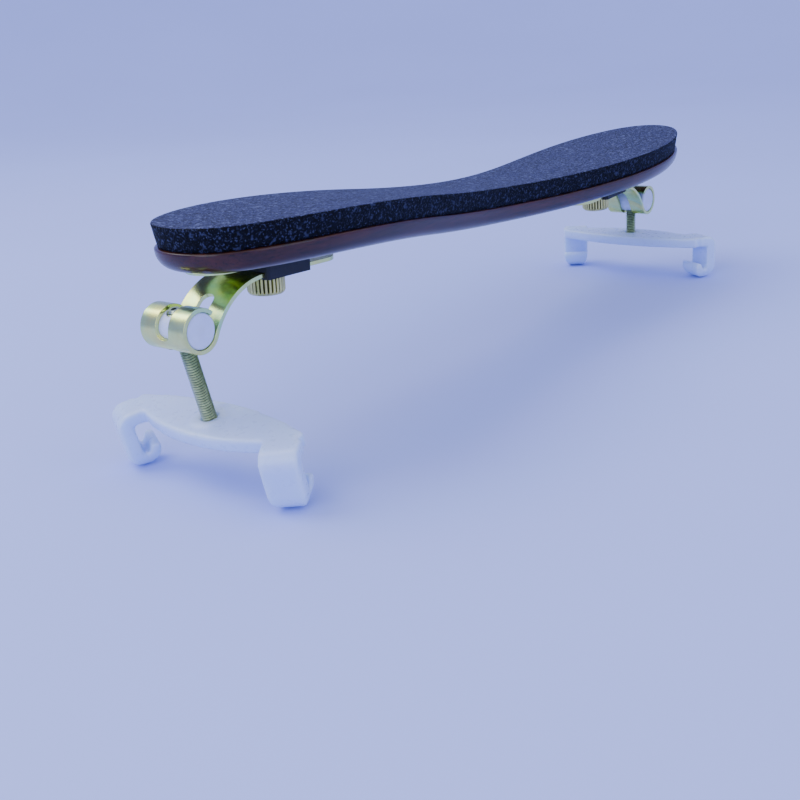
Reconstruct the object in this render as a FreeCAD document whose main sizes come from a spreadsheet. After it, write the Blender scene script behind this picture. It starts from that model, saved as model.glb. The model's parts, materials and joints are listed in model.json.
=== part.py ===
"""Violin shoulder rest: a padded wooden plate on two adjustable clawed feet.

Frame: X along the plate (chest end at -X, shoulder end at +X), Y across it, Z up.
The lowest points of the claws stand on Z = 0.  Lengths are in mm, angles in degrees.

Each end of the plate carries the same train of pieces: a base plate and a guide block
are screwed to the wood, an arm slides in the block, a nylon insert turns in the arm's
rolled barrel, a threaded post runs through the insert, and a foot turns on the post.
"""
import FreeCAD, Part
import math
import os
import Sketcher

Vector = FreeCAD.Vector
Rotation = FreeCAD.Rotation
Placement = FreeCAD.Placement

X_AXIS = Vector(1, 0, 0)
Y_AXIS = Vector(0, 1, 0)
Z_AXIS = Vector(0, 0, 1)

# Driving dimensions: alias, value, meaning.
DIMENSIONS = [
    ("foam_thickness", 5.3, "foam pad"),
    ("wood_thickness", 4.9, "laminated wooden plate"),
    ("crest_x", 110.1, "crest of the plate, from the middle towards the chest"),
    ("crest_level", 57.82, "top of the foam at the crest"),
    ("crest_radius", 500.0, "bend of the foam's top at the chest end"),
    ("trough_x", 39.9, "lowest point of the plate, from the middle towards the shoulder"),
    ("trough_level", 46.42, "top of the foam at its lowest point"),
    ("chest_tip_x", 109.3, "chest tip of the plate, from the middle"),
    ("shoulder_tip_x", 115.4, "shoulder tip of the plate, from the middle"),
    ("shoulder_radius", 900.0, "bend of the foam's top at the shoulder end"),
    ("blank_half_width", 30.0, "half width of the bent blank that the outline is cut from"),
    ("hull_radius", 4.0, "rounded lower edge of the wood"),
    ("arris_radius", 0.4, "broken upper edge of the wood"),
    ("chest_screw_x", 83.6, "thumb screw at the chest end, from the middle"),
    ("shoulder_screw_x", 70.9, "thumb screw at the shoulder end, from the middle"),
    ("base_thickness", 0.8, "base plate"),
    ("base_width", 13.5, "base plate"),
    ("base_outer", 21.0, "base plate, screw axis to its round end"),
    ("base_inner", 8.4, "base plate, screw axis to its square end"),
    ("base_screw_x", 14.0, "outer wood screw of the base plate"),
    ("block_length", 13.7, "guide block along the arm"),
    ("block_width", 16.0, "guide block across the arm"),
    ("block_top", 0.9, "top of the guide block below the wood"),
    ("block_bottom", 4.2, "underside of the guide block below the wood"),
    ("block_edge", 0.5, "bevel on the block's upright corners"),
    ("lip_gap", 10.0, "opening between the lips that carry the arm"),
    ("arm_width", 13.5, "arm strip"),
    ("arm_thickness", 0.9, "arm strip"),
    ("arm_level", 3.2, "middle of the flat strip below the wood"),
    ("arm_tongue", 19.5, "inner end of the arm from the screw axis"),
    ("arm_straight", 6.6, "where the flat strip starts to bend"),
    ("arm_clearance", 0.06, "play of the arm in the guide block"),
    ("arm_travel", 10.0, "how far the arm slides out"),
    ("barrel_x", 25.9, "barrel axis from the screw axis"),
    ("barrel_drop", 11.4, "barrel axis below the wood"),
    ("barrel_radius", 4.45, "middle of the rolled strip"),
    ("roll_end", 135.0, "where the rolled strip ends, from outward, over the top"),
    ("post_slot", 4.0, "width of the slots that the post swings in"),
    ("arch_slot", 54.0, "top of the inner slot on the arm's arch"),
    ("under_slot", 306.0, "bottom of the inner slot on the barrel"),
    ("outer_slot", -22.0, "bottom of the outer slot on the barrel"),
    ("screw_slot", 4.5, "width of the arm's adjusting slot"),
    ("shank_radius", 1.95, "thumb screw thread"),
    ("shank_reach", 3.6, "thumb screw above the underside of the wood"),
    ("head_radius", 4.35, "thumb screw head"),
    ("head_height", 5.0, "thumb screw head"),
    ("head_bevel", 0.5, "thumb screw head"),
    ("washer_radius", 4.5, "thumb screw washer"),
    ("washer_thickness", 0.4, "thumb screw washer"),
    ("washer_play", 0.03, "thumb screw washer under the arm"),
    ("bore_ease", 0.3, "screw holes in the guide parts, past the shank"),
    ("tip_share", 2.2, "arm width over the radius of its inner corners"),
    ("slot_share", 2.1, "slot width over the radius of its ends"),
    ("nut_radius", 3.0, "threaded nut in the wood"),
    ("nut_height", 4.0, "threaded nut in the wood"),
    ("thread_play", 0.05, "play between a thread and its nut"),
    ("wood_screw_radius", 1.0, "small wood screws"),
    ("wood_screw_reach", 3.6, "small wood screws above the underside of the wood"),
    ("wood_screw_head", 1.9, "small wood screws, head radius"),
    ("wood_screw_head_height", 1.0, "small wood screws"),
    ("wood_screw_y", 5.2, "block screws from the middle of the block"),
    ("seat_level", 1.65, "seats of the block screws below the wood"),
    ("insert_radius", 3.93, "nylon insert in the barrel"),
    ("insert_length", 13.2, "nylon insert in the barrel"),
    ("insert_bevel", 0.3, "nylon insert in the barrel"),
    ("dimple_radius", 0.8, "moulding mark on the insert's ends"),
    ("dimple_depth", 0.3, "moulding mark on the insert's ends"),
    ("post_radius", 1.75, "threaded post"),
    ("post_rise", 4.4, "tip of the post above the barrel axis"),
    ("post_bevel", 0.5, "tip of the post"),
    ("post_head_radius", 3.2, "flat head that holds the foot on the post"),
    ("post_head_height", 1.2, "flat head that holds the foot on the post"),
    ("chest_lean", 11.5, "chest post from upright, its top outwards"),
    ("shoulder_lean", 0.0, "shoulder post from upright"),
    ("chest_drop", 25.5, "barrel axis to the foot's underside along the post"),
    ("shoulder_drop", 15.24, "barrel axis to the foot's underside along the post"),
    ("foot_thickness", 3.4, "bar of the foot"),
    ("foot_boss_radius", 4.2, "raised ring round the post"),
    ("foot_boss_height", 0.4, "raised ring round the post"),
    ("foot_half_length", 25.8, "bar of the foot"),
    ("foot_inner", 6.6, "bar of the foot in the middle, inwards from the post"),
    ("foot_outer", 6.9, "bar of the foot in the middle, outwards from the post"),
    ("foot_end_inner", 2.6, "end of the bar, inwards from the post"),
    ("foot_end_outer", -0.2, "end of the bar, outwards from the post"),
    ("claw_splay", 28.0, "how far a claw turns towards the middle"),
    ("claw_x", 7.0, "outer face of a claw, outwards from the post"),
    ("claw_y", 26.0, "middle of a claw from the post"),
    ("claw_width", 8.6, "claw across its opening"),
    ("claw_wall", 3.6, "thickness of a claw"),
    ("claw_depth", 11.0, "claw below the underside of the bar"),
    ("claw_reach", 8.0, "claw from its outer face to its lip"),
    ("claw_shoulder", 3.6, "rounding of a claw into the top of the bar"),
    ("claw_lip", 5.6, "tip of the lip below the underside of the bar"),
    ("claw_tip", 1.25, "rounding of the lip's tip"),
]

# Half outline of the plate as the control points of one curve, from the chest tip to
# the shoulder tip: distance along the plate and half width.
OUTLINE = [(-109.3, 0.0), (-109.3, 8.5), (-99.1, 16.5), (-75.1, 19.5), (-43.1, 16.5),
           (-3.1, 11.0), (32.9, 15.5), (64.9, 20.5), (95.9, 19.5), (115.4, 9.0), (115.4, 0.0)]

doc = FreeCAD.newDocument("shoulder_rest")
sheet = doc.addObject("Spreadsheet::Sheet", "Dimensions")


def fill_sheet():
    """Write the driving dimensions and the outline's control points to the sheet."""
    rows = [(alias, value, note) for alias, value, note in DIMENSIONS]
    for index, (along, half) in enumerate(OUTLINE):
        rows.append(("outline_along_%d" % index, along, "outline control point"))
        rows.append(("outline_half_%d" % index, half, "outline control point"))
    for row, (alias, value, note) in enumerate(rows, start=1):
        sheet.set("A%d" % row, note)
        sheet.set("B%d" % row, str(value))
        sheet.setAlias("B%d" % row, alias)
    doc.recompute()


def size(alias):
    """The value of one driving dimension."""
    return float(sheet.get(alias))


def bind(thing, prop, text):
    """Bind a property to the sheet: words in the text that are aliases become cells."""
    thing.setExpression(prop, in_cells(text))


def in_cells(text):
    """Put the sheet's name before every alias in an expression."""
    words = []
    word = ""
    for mark in text + " ":
        if mark.isalnum() or mark == "_":
            word += mark
            continue
        if word in ALIASES:
            word = "Dimensions." + word
        words.append(word + mark)
        word = ""
    return "".join(words).strip()


fill_sheet()
ALIASES = {alias for alias, value, note in DIMENSIONS}
for number in range(len(OUTLINE)):
    ALIASES.add("outline_along_%d" % number)
    ALIASES.add("outline_half_%d" % number)


# ---------------------------------------------------------------- sketch helpers

class Outline:
    """A closed outline in a sketch, drawn edge by edge and then dimensioned."""

    def __init__(self, sketch):
        self.sketch = sketch
        self.first = None
        self.last = None

    def add(self, shape, forward=True):
        """Add an edge that starts where the last one ended, and join them."""
        index = self.sketch.addGeometry(shape, False)
        start, end = (1, 2) if forward else (2, 1)
        if self.last is not None:
            self.sketch.addConstraint(
                Sketcher.Constraint("Coincident", self.last[0], self.last[1], index, start))
        else:
            self.first = (index, start)
        self.last = (index, end)
        return index

    def line(self, start, end):
        return self.add(Part.LineSegment(flat(start), flat(end)))

    def arc(self, centre, radius, from_angle, to_angle):
        """An arc between two angles in degrees, either way round."""
        circle = Part.Circle(flat(centre), Z_AXIS, radius)
        forward = to_angle > from_angle
        low, high = sorted((from_angle, to_angle))
        return self.add(Part.ArcOfCircle(circle, math.radians(low), math.radians(high)), forward)

    def close(self):
        self.sketch.addConstraint(Sketcher.Constraint(
            "Coincident", self.last[0], self.last[1], self.first[0], self.first[1]))


def flat(point):
    """A point in a sketch's own plane."""
    return Vector(point[0], point[1], 0)


def polar(centre, radius, angle):
    """The point at an angle in degrees on a circle."""
    turn = math.radians(angle)
    return (centre[0] + radius * math.cos(turn), centre[1] + radius * math.sin(turn))


def measure(sketch, kind, places, value, text):
    """Add a dimension and bind it to the sheet."""
    index = sketch.addConstraint(Sketcher.Constraint(kind, *places, value))
    bind(sketch, "Constraints[%d]" % index, text)


def locate(sketch, element, point, place, texts):
    """Fix a point of a sketch at a distance from the sketch's origin."""
    for kind, value, text in zip(("DistanceX", "DistanceY"), place, texts):
        if text:
            measure(sketch, kind, (-1, 1, element, point), value, text)


def radius_of(sketch, element, value, text):
    """Fix the radius of an arc or a circle."""
    measure(sketch, "Radius", (element,), value, text)


def circle_in(sketch, place, radius, place_texts, radius_text):
    """A dimensioned circle."""
    index = sketch.addGeometry(Part.Circle(flat(place), Z_AXIS, radius), False)
    locate(sketch, index, 3, place, place_texts)
    radius_of(sketch, index, radius, radius_text)
    return index


def rectangle_in(sketch, low, high, low_texts, high_texts):
    """A dimensioned upright rectangle."""
    outline = Outline(sketch)
    corners = [low, (high[0], low[1]), high, (low[0], high[1])]
    sides = [outline.line(corners[k], corners[(k + 1) % 4]) for k in range(4)]
    outline.close()
    for side, kind in zip(sides, ("Horizontal", "Vertical", "Horizontal", "Vertical")):
        sketch.addConstraint(Sketcher.Constraint(kind, side))
    locate(sketch, sides[0], 1, low, low_texts)
    locate(sketch, sides[2], 1, high, high_texts)
    return sides


# ---------------------------------------------------------------- body helpers

def new_body(label):
    body = doc.addObject("PartDesign::Body", label)
    body.Label = label
    return body


def new_sketch(body, name, plane="XY_Plane", offset=None):
    """A sketch on one of the body's own origin planes, moved by an offset if given."""
    sketch = body.newObject("Sketcher::SketchObject", name)
    support = [item for item in body.Origin.OriginFeatures if item.Role == plane][0]
    sketch.AttachmentSupport = [(support, "")]
    sketch.MapMode = "FlatFace"
    if offset is not None:
        sketch.AttachmentOffset = offset
    return sketch


def pad(body, sketch, name, length, symmetric=False, down=False):
    feature = body.newObject("PartDesign::Pad", name)
    feature.Profile = sketch
    bind(feature, "Length", length)
    feature.SideType = "Symmetric" if symmetric else "One side"
    feature.Reversed = down
    doc.recompute()
    return feature


def pocket(body, sketch, name, length=None, symmetric=False, turned=False):
    """Cut a sketch out of the body and make sure that it took something away."""
    before = body.Shape.Volume
    feature = body.newObject("PartDesign::Pocket", name)
    feature.Profile = sketch
    if length is None:
        feature.Type = "ThroughAll"
    else:
        bind(feature, "Length", length)
    feature.SideType = "Symmetric" if symmetric else "One side"
    feature.Reversed = turned
    doc.recompute()
    if body.Shape.Volume >= before - 1e-6:
        raise RuntimeError("%s cuts nothing" % name)
    return feature


def dress(body, kind, name, base, edges, prop, text):
    """A fillet or a chamfer on chosen edges of the body's last feature."""
    feature = body.newObject("PartDesign::" + kind, name)
    feature.Base = (base, edges)
    bind(feature, prop, text)
    doc.recompute()
    return feature


def edges_where(shape, test):
    """Names of the edges whose middle and length pass a test."""
    names = []
    for number, edge in enumerate(shape.Edges, start=1):
        middle = edge.valueAt((edge.FirstParameter + edge.LastParameter) / 2)
        if test(edge, middle):
            names.append("Edge%d" % number)
    return names


# ---------------------------------------------------------------- shared geometry

class End:
    """One end of the rest: which way it faces and where its pieces stand."""

    def __init__(self, name, facing):
        self.name = name
        self.facing = facing
        self.base = Rotation(Z_AXIS, 180) if facing < 0 else Rotation()
        self.screw_x = size(name + "_screw_x")
        self.lean = size(name + "_lean")
        self.drop = size(name + "_drop")
        depth = size("foam_thickness") + size("wood_thickness")
        if facing < 0:
            self.under_radius = size("crest_radius") - depth
            from_axis = size("crest_x") - self.screw_x
            self.tilt = math.degrees(math.asin(from_axis / self.under_radius))
            fall = self.under_radius * (1 - math.cos(math.radians(self.tilt)))
            level = size("crest_level") - depth - fall
            self.bend = -1
        else:
            self.under_radius = size("shoulder_radius") + depth
            from_axis = self.screw_x - size("trough_x")
            self.tilt = math.degrees(math.asin(from_axis / self.under_radius))
            rise = self.under_radius * (1 - math.cos(math.radians(self.tilt)))
            level = size("trough_level") - depth + rise
            self.bend = 1
        turn = Rotation(Y_AXIS, -facing * self.tilt)
        self.frame = Placement(Vector(facing * self.screw_x, 0, level), turn * self.base)
        self.barrel = self.frame.multVec(Vector(size("barrel_x"), 0, -size("barrel_drop")))
        post_turn = Rotation(Y_AXIS, facing * self.lean)
        self.post_frame = Placement(self.barrel, post_turn * self.base)
        foot_place = self.post_frame.multVec(Vector(0, 0, -self.drop))
        self.foot_frame = Placement(foot_place, post_turn * self.base)

    def label(self, piece):
        return "%s_%s" % (self.name, piece)


def arm_bend():
    """Centre and radius of the arm's arch, tangent to the flat strip and the barrel."""
    run = size("barrel_x") - size("arm_straight")
    fall = size("barrel_drop") - size("arm_level")
    roll = size("barrel_radius")
    radius = (run ** 2 + fall ** 2 - roll ** 2) / (2 * (fall + roll))
    centre = (size("arm_straight"), -size("arm_level") - radius)
    meet = math.degrees(math.atan2(-size("barrel_drop") - centre[1], run))
    return centre, radius, meet


# ---------------------------------------------------------------- plate and pad

def bent_band(name, top, bottom, top_text, bottom_text):
    """The bent blank between two depths under the foam's top, as an extruded sketch.

    Three arcs follow each other: the chest end curves down, the middle and the
    shoulder end curve up.  The lower arcs share the centres of the upper ones.
    """
    sketch = doc.addObject("Sketcher::SketchObject", name + "_side")
    sketch.Placement = Placement(Vector(0, 0, 0), Rotation(X_AXIS, 90))
    crest = (-size("crest_x"), size("crest_level") - size("crest_radius"))
    trough = (size("trough_x"), size("trough_level"))
    run = trough[0] - crest[0]
    reach = size("crest_radius")
    lift = trough[1] - crest[1]
    middle_radius = (run ** 2 + lift ** 2 - reach ** 2) / (2 * (reach - lift))
    middle = (trough[0], trough[1] + middle_radius)
    last = (trough[0], trough[1] + size("shoulder_radius"))
    meet = math.degrees(math.atan2(middle[1] - crest[1], middle[0] - crest[0]))
    chest = -size("chest_tip_x")
    shoulder = size("shoulder_tip_x")

    def ends(depth):
        crest_start = math.degrees(math.acos((chest - crest[0]) / (reach - depth)))
        last_end = math.degrees(math.asin((shoulder - last[0]) / (size("shoulder_radius") + depth)))
        return crest_start, last_end - 90

    outline = Outline(sketch)
    crest_start, last_end = ends(top)
    upper = [outline.arc(crest, reach - top, crest_start, meet),
             outline.arc(middle, middle_radius + top, meet - 180, -90),
             outline.arc(last, size("shoulder_radius") + top, -90, last_end)]
    low_start, low_end = ends(bottom)
    right = outline.line(polar(last, size("shoulder_radius") + top, last_end),
                         polar(last, size("shoulder_radius") + bottom, low_end))
    lower = [outline.arc(last, size("shoulder_radius") + bottom, low_end, -90),
             outline.arc(middle, middle_radius + bottom, -90, meet - 180),
             outline.arc(crest, reach - bottom, meet, low_start)]
    left = outline.line(polar(crest, reach - bottom, low_start),
                        polar(crest, reach - top, crest_start))
    outline.close()
    for side in (left, right):
        sketch.addConstraint(Sketcher.Constraint("Vertical", side))
    for high, deep in zip(upper, reversed(lower)):
        sketch.addConstraint(Sketcher.Constraint("Coincident", high, 3, deep, 3))
    locate(sketch, upper[0], 3, crest, ("-crest_x", "crest_level - crest_radius"))
    radius_of(sketch, upper[0], reach - top, "crest_radius - (%s)" % top_text)
    radius_of(sketch, lower[2], reach - bottom, "crest_radius - (%s)" % bottom_text)
    locate(sketch, left, 2, (chest, 0), ("-chest_tip_x", None))
    locate(sketch, right, 1, (shoulder, 0), ("shoulder_tip_x", None))
    doc.recompute()
    band = doc.addObject("Part::Extrusion", name + "_band")
    band.Base = sketch
    band.DirMode = "Normal"
    bind(band, "LengthFwd", "2 * blank_half_width")
    band.Symmetric = True
    band.Solid = True
    return band


def plan_prism():
    """The plate's outline from above, carried straight up through the blank."""
    sketch = doc.addObject("Sketcher::SketchObject", "plan_outline")
    knots = len(OUTLINE) - 2
    for side in (1, -1):
        curve = Part.BSplineCurve()
        poles = [Vector(along, side * half, 0) for along, half in OUTLINE]
        curve.buildFromPolesMultsKnots(poles, [4] + [1] * (knots - 2) + [4],
                                       list(range(knots)), False, 3)
        index = sketch.addGeometry(curve, False)
        sketch.exposeInternalGeometry(index)
        for number, (along, half) in enumerate(OUTLINE):
            pole = index + 1 + number
            texts = ("outline_along_%d" % number, "%d * outline_half_%d" % (side, number))
            locate(sketch, pole, 3, (along, side * half), texts)
    doc.recompute()
    prism = doc.addObject("Part::Extrusion", "plan_prism")
    prism.Base = sketch
    prism.DirMode = "Normal"
    bind(prism, "LengthFwd", "2 * crest_level")
    prism.Solid = True
    return prism


def bored_for(base, ends):
    """Cut the seats of the nuts and the small screws out of the plate."""
    shape = base
    for end in ends:
        seats = [("nut_seat", 0, 0, "nut_radius", "nut_height")]
        for side in (1, -1):
            seats.append(("block_screw_seat_%s" % ("left" if side > 0 else "right"),
                          0, side * size("wood_screw_y"),
                          "wood_screw_radius", "wood_screw_reach"))
        seats.append(("base_screw_seat", size("base_screw_x"), 0,
                      "wood_screw_radius", "wood_screw_reach"))
        for name, along, across, radius, height in seats:
            seat = doc.addObject("Part::Cylinder", end.label(name))
            bind(seat, "Radius", radius)
            bind(seat, "Height", height + " + base_thickness")
            start = Vector(along, across, -size("base_thickness"))
            seat.Placement = end.frame.multiply(Placement(start, Rotation()))
            cut = doc.addObject("Part::Cut", end.label(name) + "_cut")
            cut.Base = shape
            cut.Tool = seat
            shape = cut
    doc.recompute()
    return shape


def make_plate(ends):
    """The laminated wooden plate with a hull-shaped underside."""
    depth = size("foam_thickness") + size("wood_thickness")
    band = bent_band("wood", size("foam_thickness"), depth,
                     "foam_thickness", "foam_thickness + wood_thickness")
    blank = doc.addObject("Part::Common", "wood_blank")
    blank.Base = band
    blank.Tool = prism
    doc.recompute()
    hull = doc.addObject("Part::Fillet", "wood_hull")
    hull.Base = blank
    rounds = []
    for number, edge in enumerate(blank.Shape.Edges, start=1):
        middle = edge.valueAt((edge.FirstParameter + edge.LastParameter) / 2)
        ends_at = [vertex.Point.z for vertex in edge.Vertexes]
        upright = abs(ends_at[0] - ends_at[-1]) > 3 and edge.Length < 6
        crossing = edge.BoundBox.YLength > 20 and edge.BoundBox.XLength < 1
        if upright or crossing:
            continue
        above = level_of(middle.x, size("foam_thickness"))
        below = level_of(middle.x, depth)
        lower = abs(middle.z - below) < abs(middle.z - above)
        radius = size("hull_radius") if lower else size("arris_radius")
        rounds.append((number, radius, radius))
    hull.Edges = rounds
    doc.recompute()
    plate = bored_for(hull, ends)
    plate.Label = "wood_plate"
    return plate


def level_of(along, depth):
    """Height of the plate's surface a depth below the foam's top, at one station."""
    crest = (-size("crest_x"), size("crest_level") - size("crest_radius"))
    trough = (size("trough_x"), size("trough_level"))
    run = trough[0] - crest[0]
    reach = size("crest_radius")
    lift = trough[1] - crest[1]
    middle_radius = (run ** 2 + lift ** 2 - reach ** 2) / (2 * (reach - lift))
    meet = crest[0] + run * reach / (reach + middle_radius)
    if along < meet:
        return crest[1] + math.sqrt((reach - depth) ** 2 - (along - crest[0]) ** 2)
    bend = middle_radius if along < trough[0] else size("shoulder_radius")
    return trough[1] + bend - math.sqrt((bend + depth) ** 2 - (along - trough[0]) ** 2)


def make_pad():
    """The foam pad, cut to the plate's outline."""
    band = bent_band("foam", 0.0, size("foam_thickness"), "0", "foam_thickness")
    foam = doc.addObject("Part::Common", "foam_pad")
    foam.Base = band
    foam.Tool = prism
    foam.Label = "foam_pad"
    doc.recompute()
    return foam


# ---------------------------------------------------------------- fixed pieces of an end

def make_base_plate(end):
    """Bent steel strip under the wood, round at its outer end."""
    body = new_body(end.label("base_plate"))
    side = new_sketch(body, end.label("base_plate_side"), "XZ_Plane")
    thick = size("base_thickness")
    centre = (0, end.bend * end.under_radius)
    inner = end.under_radius + (0 if end.bend > 0 else -thick)
    outer = inner + thick
    facing = -90 if end.bend > 0 else 90
    reach = [-size("base_inner"), size("base_outer")]
    if end.bend < 0:
        reach.reverse()

    def angles(radius):
        return [facing + math.degrees(math.asin(-end.bend * -x / radius)) for x in reach]

    near, far = angles(outer)
    near_in, far_in = angles(inner)
    outline = Outline(side)
    outside = outline.arc(centre, outer, near, far)
    outline.line(polar(centre, outer, far), polar(centre, inner, far_in))
    inside = outline.arc(centre, inner, far_in, near_in)
    outline.line(polar(centre, inner, near_in), polar(centre, outer, near))
    outline.close()
    side.addConstraint(Sketcher.Constraint("Coincident", outside, 3, inside, 3))
    pad(body, side, end.label("base_plate_strip"), "base_width", symmetric=True)
    ends = new_sketch(body, end.label("base_plate_end"))
    half = size("base_width") / 2
    tip = size("base_outer")
    corner = Outline(ends)
    corner.arc((tip - half, 0), half, -90, 90)
    corner.line((tip - half, half), (tip + half, 2 * half))
    corner.line((tip + half, 2 * half), (tip + half, -2 * half))
    corner.line((tip + half, -2 * half), (tip - half, -half))
    corner.close()
    pocket(body, ends, end.label("base_plate_round"), symmetric=True)
    holes = new_sketch(body, end.label("base_plate_holes"))
    circle_in(holes, (0, 0), size("shank_radius") + size("bore_ease"), (None, None),
              "shank_radius + bore_ease")
    for place, texts in wood_screw_places():
        circle_in(holes, place, size("wood_screw_radius"), texts, "wood_screw_radius")
    pocket(body, holes, end.label("base_plate_drilled"), symmetric=True)
    body.Placement = end.frame
    return body


def wood_screw_places():
    """The three small screws of an end: two in the block and one in the base plate."""
    across = size("wood_screw_y")
    return [((0, across), (None, "wood_screw_y")),
            ((0, -across), (None, "-wood_screw_y")),
            ((size("base_screw_x"), 0), ("base_screw_x", None))]


def make_slide_block(end):
    """Moulded guide block with a window that the arm slides in."""
    body = new_body(end.label("slide_block"))
    half = size("block_length") / 2
    wide = size("block_width") / 2
    top = Placement(Vector(0, 0, -size("block_top")), Rotation())
    plan = new_sketch(body, end.label("block_plan"), offset=top)
    rectangle_in(plan, (-half, -wide), (half, wide),
                 ("-block_length / 2", "-block_width / 2"), ("block_length / 2", "block_width / 2"))
    solid = pad(body, plan, end.label("block_solid"), "block_bottom - block_top", down=True)
    corners = edges_where(solid.Shape, lambda edge, middle: upright(edge))
    dress(body, "Chamfer", end.label("block_corners"), solid, corners, "Size", "block_edge")
    window = new_sketch(body, end.label("block_window_sketch"), "YZ_Plane")
    play = size("arm_clearance")
    reach = size("arm_width") / 2 + play
    high = -size("arm_level") + size("arm_thickness") / 2 + play
    low = -size("arm_level") - size("arm_thickness") / 2 - play
    rectangle_in(window, (-reach, low), (reach, high),
                 ("-arm_width / 2 - arm_clearance",
                  "-arm_level - arm_thickness / 2 - arm_clearance"),
                 ("arm_width / 2 + arm_clearance",
                  "-arm_level + arm_thickness / 2 + arm_clearance"))
    pocket(body, window, end.label("block_window"), symmetric=True)
    floor = new_sketch(body, end.label("block_floor_sketch"), "YZ_Plane")
    gap = size("lip_gap") / 2
    below = -size("block_bottom") - 1
    rectangle_in(floor, (-gap, below), (gap, -size("arm_level")),
                 ("-lip_gap / 2", "-block_bottom - 1"), ("lip_gap / 2", "-arm_level"))
    pocket(body, floor, end.label("block_floor"), symmetric=True)
    holes = new_sketch(body, end.label("block_holes_sketch"))
    circle_in(holes, (0, 0), size("shank_radius") + size("bore_ease"), (None, None),
              "shank_radius + bore_ease")
    for place, texts in wood_screw_places()[:2]:
        circle_in(holes, place, size("wood_screw_radius"), texts, "wood_screw_radius")
    pocket(body, holes, end.label("block_holes"), symmetric=True)
    seats = new_sketch(body, end.label("block_seats_sketch"), offset=Placement(
        Vector(0, 0, -size("arm_level")), Rotation()))
    for place, texts in wood_screw_places()[:2]:
        circle_in(seats, place, size("wood_screw_head"), texts, "wood_screw_head")
    pocket(body, seats, end.label("block_seats"), "arm_level - seat_level", turned=True)
    body.Placement = end.frame
    return body


def upright(edge):
    """True for a straight edge along Z."""
    return abs(edge.tangentAt(edge.FirstParameter).z) > 0.99 and len(edge.Vertexes) == 2


def make_wood_screws(end):
    """Three small wood screws: two hold the block and one the outer base plate."""
    screws = []
    seats = [size("seat_level"), size("seat_level"), size("base_thickness")]
    for number, ((place, texts), seat) in enumerate(zip(wood_screw_places(), seats)):
        shank = doc.addObject("Part::Cylinder", end.label("screw_shank_%d" % number))
        bind(shank, "Radius", "wood_screw_radius")
        level = "base_thickness" if number == 2 else "seat_level"
        bind(shank, "Height", "wood_screw_reach + " + level)
        shank.Placement = Placement(Vector(place[0], place[1], -seat), Rotation())
        head = doc.addObject("Part::Cylinder", end.label("screw_head_%d" % number))
        bind(head, "Radius", "wood_screw_head")
        bind(head, "Height", "wood_screw_head_height")
        below = -seat - size("wood_screw_head_height")
        head.Placement = Placement(Vector(place[0], place[1], below), Rotation())
        screw = doc.addObject("Part::Fuse", end.label("screw_%d" % number))
        screw.Base = shank
        screw.Tool = head
        screws.append(screw)
    group = doc.addObject("Part::Compound", end.label("wood_screws"))
    group.Links = screws
    group.Label = end.label("wood_screws")
    group.Placement = end.frame
    return group


def make_clamp_nut(end):
    """Threaded brass nut pressed into the wood above the thumb screw."""
    body = new_body(end.label("clamp_nut"))
    plan = new_sketch(body, end.label("clamp_nut_plan"))
    circle_in(plan, (0, 0), size("nut_radius"), (None, None), "nut_radius")
    circle_in(plan, (0, 0), size("shank_radius") + size("thread_play"), (None, None),
              "shank_radius + thread_play")
    pad(body, plan, end.label("clamp_nut_ring"), "nut_height")
    body.Placement = end.frame
    return body


# ---------------------------------------------------------------- arm and thumb screw

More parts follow.
